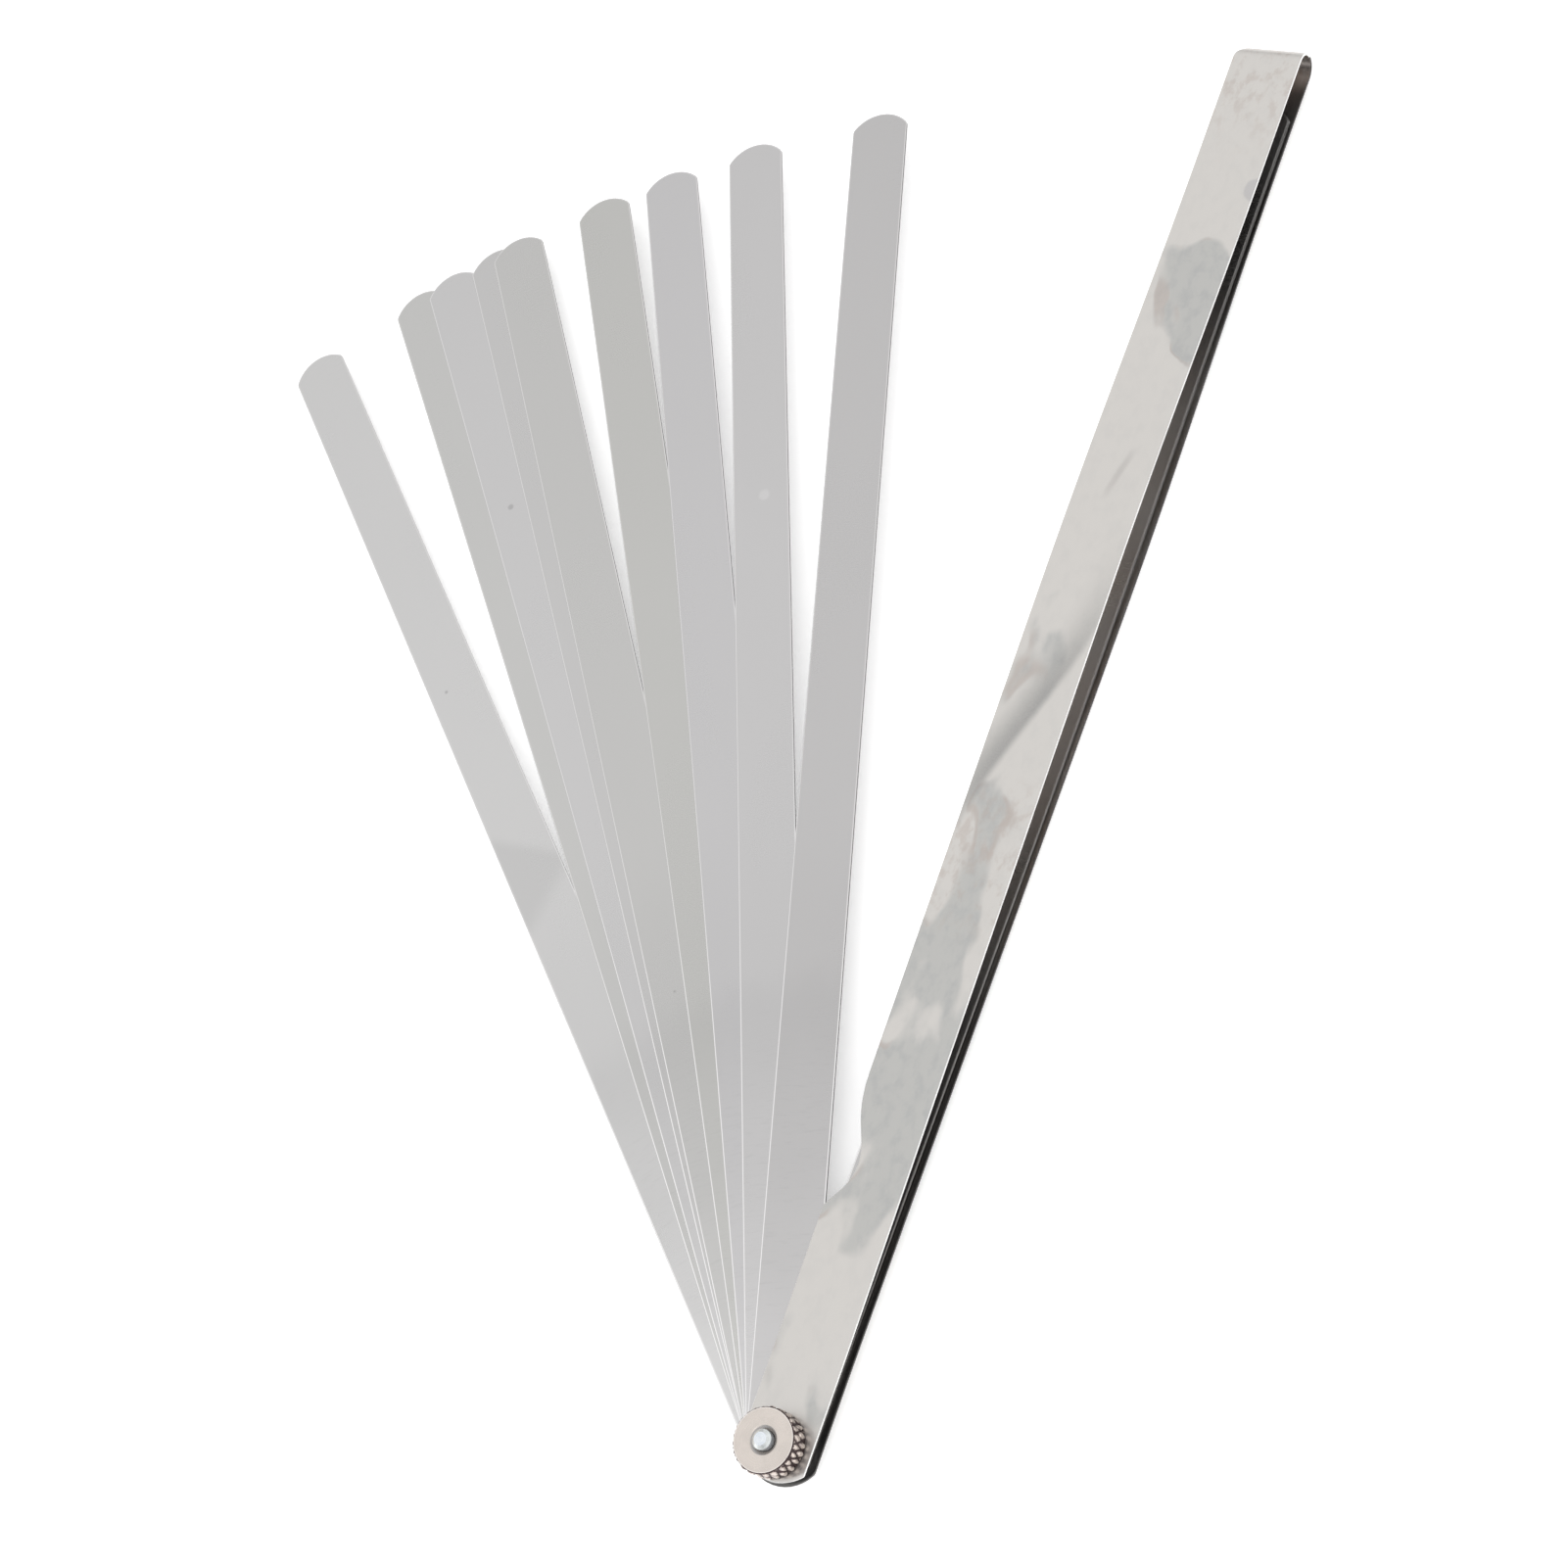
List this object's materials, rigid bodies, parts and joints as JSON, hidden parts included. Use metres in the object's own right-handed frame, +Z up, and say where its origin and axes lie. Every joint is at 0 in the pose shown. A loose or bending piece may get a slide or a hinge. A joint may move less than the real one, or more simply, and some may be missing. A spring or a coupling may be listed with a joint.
{
  "type": "feeler gauge",
  "caption": "Long-leaf feeler gauge: steel leaves fanned out from a folded sheet-metal case, on a stud with a knurled nut.",
  "frame": {"origin": "on the pivot axis, on the plane that the gauge rests on (underside of the stud's head)", "axes": "+Y along the case from the pivot to the folded end, +Z up along the pivot axis out of the nut, +X to the right"},
  "size_m": [0.2224, 0.3121, 0.0138],
  "materials": {
    "leaf_steel": "fine ground spring steel, satin",
    "case_plate": "polished sheet steel with faint stains and smears",
    "stud_zinc": "bright zinc plated",
    "nut_nickel": "nickel plated, turned face and knurled rim"
  },
  "bodies": {
    "case": {"case": "case_plate", "pivot_stud": "stud_zinc"},
    "nut": {"knurled_nut": "nut_nickel"},
    "leaf_02": {"leaf_0_02mm": "leaf_steel"},
    "leaf_03": {"leaf_0_03mm": "leaf_steel"},
    "leaf_04": {"leaf_0_04mm": "leaf_steel"},
    "leaf_05": {"leaf_0_05mm": "leaf_steel"},
    "leaf_06": {"leaf_0_06mm": "leaf_steel"},
    "leaf_07": {"leaf_0_07mm": "leaf_steel"},
    "leaf_08": {"leaf_0_08mm": "leaf_steel"},
    "leaf_09": {"leaf_0_09mm": "leaf_steel"},
    "leaf_10": {"leaf_0_10mm": "leaf_steel"},
    "leaf_15": {"leaf_0_15mm": "leaf_steel"},
    "leaf_20": {"leaf_0_20mm": "leaf_steel"},
    "leaf_25": {"leaf_0_25mm": "leaf_steel"},
    "leaf_30": {"leaf_0_30mm": "leaf_steel"},
    "leaf_35": {"leaf_0_35mm": "leaf_steel"},
    "leaf_40": {"leaf_0_40mm": "leaf_steel"},
    "leaf_45": {"leaf_0_45mm": "leaf_steel"},
    "leaf_50": {"leaf_0_50mm": "leaf_steel"}
  },
  "joints": [
    {"name": "swing_02", "type": "hinge", "parent": "case", "child": "leaf_02", "pos_m": [0, 0, 0.0051], "axis": [0, 0, 1], "range_deg": [0, 180.27]},
    {"name": "swing_03", "type": "hinge", "parent": "case", "child": "leaf_03", "pos_m": [0, 0, 0.0051], "axis": [0, 0, 1], "range_deg": [-0.03, 180.24]},
    {"name": "swing_04", "type": "hinge", "parent": "case", "child": "leaf_04", "pos_m": [0, 0, 0.0051], "axis": [0, 0, 1], "range_deg": [-0.08, 180.19]},
    {"name": "swing_05", "type": "hinge", "parent": "case", "child": "leaf_05", "pos_m": [0, 0, 0.0051], "axis": [0, 0, 1], "range_deg": [0, 180.27]},
    {"name": "swing_06", "type": "hinge", "parent": "case", "child": "leaf_06", "pos_m": [0, 0, 0.0051], "axis": [0, 0, 1], "range_deg": [-0.05, 180.22]},
    {"name": "swing_07", "type": "hinge", "parent": "case", "child": "leaf_07", "pos_m": [0, 0, 0.0051], "axis": [0, 0, 1], "range_deg": [-0.1, 180.17]},
    {"name": "swing_08", "type": "hinge", "parent": "case", "child": "leaf_08", "pos_m": [0, 0, 0.0051], "axis": [0, 0, 1], "range_deg": [-0.02, 180.25]},
    {"name": "swing_09", "type": "hinge", "parent": "case", "child": "leaf_09", "pos_m": [0, 0, 0.0051], "axis": [0, 0, 1], "range_deg": [-0.06, 180.21]},
    {"name": "swing_10", "type": "hinge", "parent": "case", "child": "leaf_10", "pos_m": [0, 0, 0.0051], "axis": [0, 0, 1], "range_deg": [-46.57, 133.7]},
    {"name": "swing_15", "type": "hinge", "parent": "case", "child": "leaf_15", "pos_m": [0, 0, 0.0051], "axis": [0, 0, 1], "range_deg": [-40.87, 139.4]},
    {"name": "swing_20", "type": "hinge", "parent": "case", "child": "leaf_20", "pos_m": [0, 0, 0.0051], "axis": [0, 0, 1], "range_deg": [-39.07, 141.2]},
    {"name": "swing_25", "type": "hinge", "parent": "case", "child": "leaf_25", "pos_m": [0, 0, 0.0051], "axis": [0, 0, 1], "range_deg": [-36.72, 143.55]},
    {"name": "swing_30", "type": "hinge", "parent": "case", "child": "leaf_30", "pos_m": [0, 0, 0.0051], "axis": [0, 0, 1], "range_deg": [-35.52, 144.75]},
    {"name": "swing_35", "type": "hinge", "parent": "case", "child": "leaf_35", "pos_m": [0, 0, 0.0051], "axis": [0, 0, 1], "range_deg": [-31.02, 149.25]},
    {"name": "swing_40", "type": "hinge", "parent": "case", "child": "leaf_40", "pos_m": [0, 0, 0.0051], "axis": [0, 0, 1], "range_deg": [-27.57, 152.7]},
    {"name": "swing_45", "type": "hinge", "parent": "case", "child": "leaf_45", "pos_m": [0, 0, 0.0051], "axis": [0, 0, 1], "range_deg": [-23.37, 156.9]},
    {"name": "swing_50", "type": "hinge", "parent": "case", "child": "leaf_50", "pos_m": [0, 0, 0.0051], "axis": [0, 0, 1], "range_deg": [-17.32, 162.95]},
    {"name": "nut_turn", "type": "hinge", "parent": "case", "child": "nut", "pos_m": [0, 0, 0.0098], "axis": [0, 0, 1], "range_deg": [0, 360]}
  ]
}
